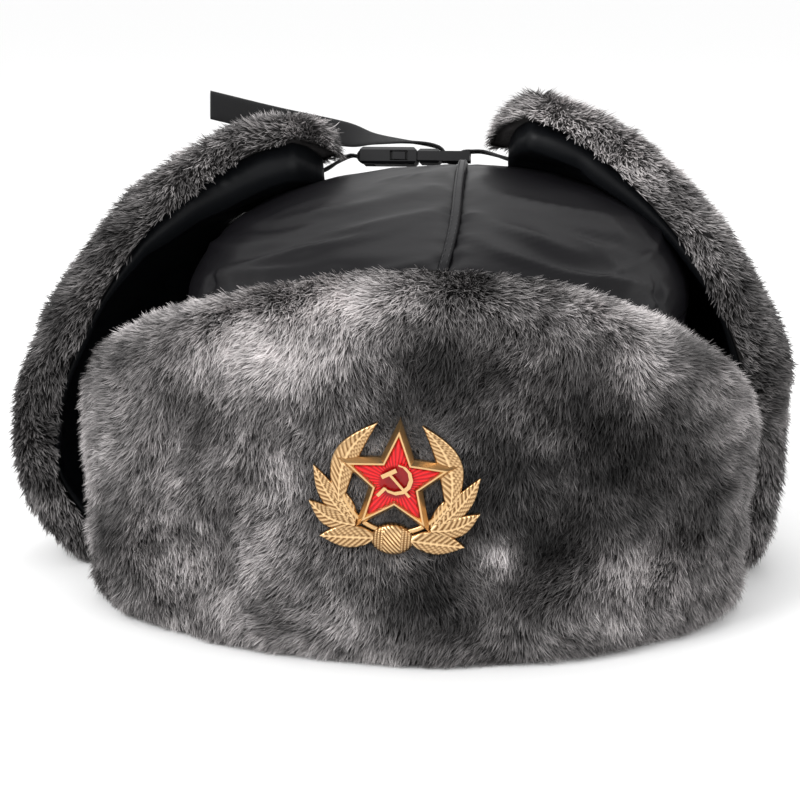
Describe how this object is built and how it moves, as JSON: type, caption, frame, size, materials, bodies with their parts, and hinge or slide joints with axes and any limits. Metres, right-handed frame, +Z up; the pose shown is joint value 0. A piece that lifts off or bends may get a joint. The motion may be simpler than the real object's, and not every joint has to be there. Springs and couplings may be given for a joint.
{
  "type": "ushanka fur hat",
  "caption": "Winter hat with a soft satin crown, an upright fur visor with an enamelled cockade, a fur neck flap and fur ear flaps buckled together over the crown.",
  "frame": {"origin": "on the surface the hat stands on, under the middle of its bounding box", "axes": "+Z up, -Y is the side the visor and its cockade face, +X is to the right of someone who looks at the visor"},
  "size_m": [0.2668, 0.2606, 0.1589],
  "materials": {
    "black_nylon": "satin nylon over padding",
    "flap_lining": "satin nylon",
    "grey_fur": "deep charcoal pile with light tips",
    "webbing": "woven polyester",
    "black_plastic": "moulded, matte",
    "gilt_metal": "gilded relief",
    "red_enamel": "translucent gloss enamel"
  },
  "bodies": {
    "root": {"crown_top_left": "black_nylon", "crown_top_right": "black_nylon", "crown_band": "black_nylon", "crown_seam_tape": "black_nylon", "visor_backing": "flap_lining", "visor_fur_left": "grey_fur", "visor_fur_right": "grey_fur", "ear_flap_left_lining": "flap_lining", "ear_flap_left_fur": "grey_fur", "ear_flap_right_lining": "flap_lining", "ear_flap_right_fur": "grey_fur", "neck_flap_lining": "flap_lining", "neck_flap_fur": "grey_fur", "strap_left": "webbing", "strap_right": "webbing", "buckle_socket": "black_plastic", "buckle_plug": "black_plastic", "badge_body": "gilt_metal", "badge_enamel": "red_enamel", "badge_emblem": "gilt_metal"}
  },
  "joints": []
}
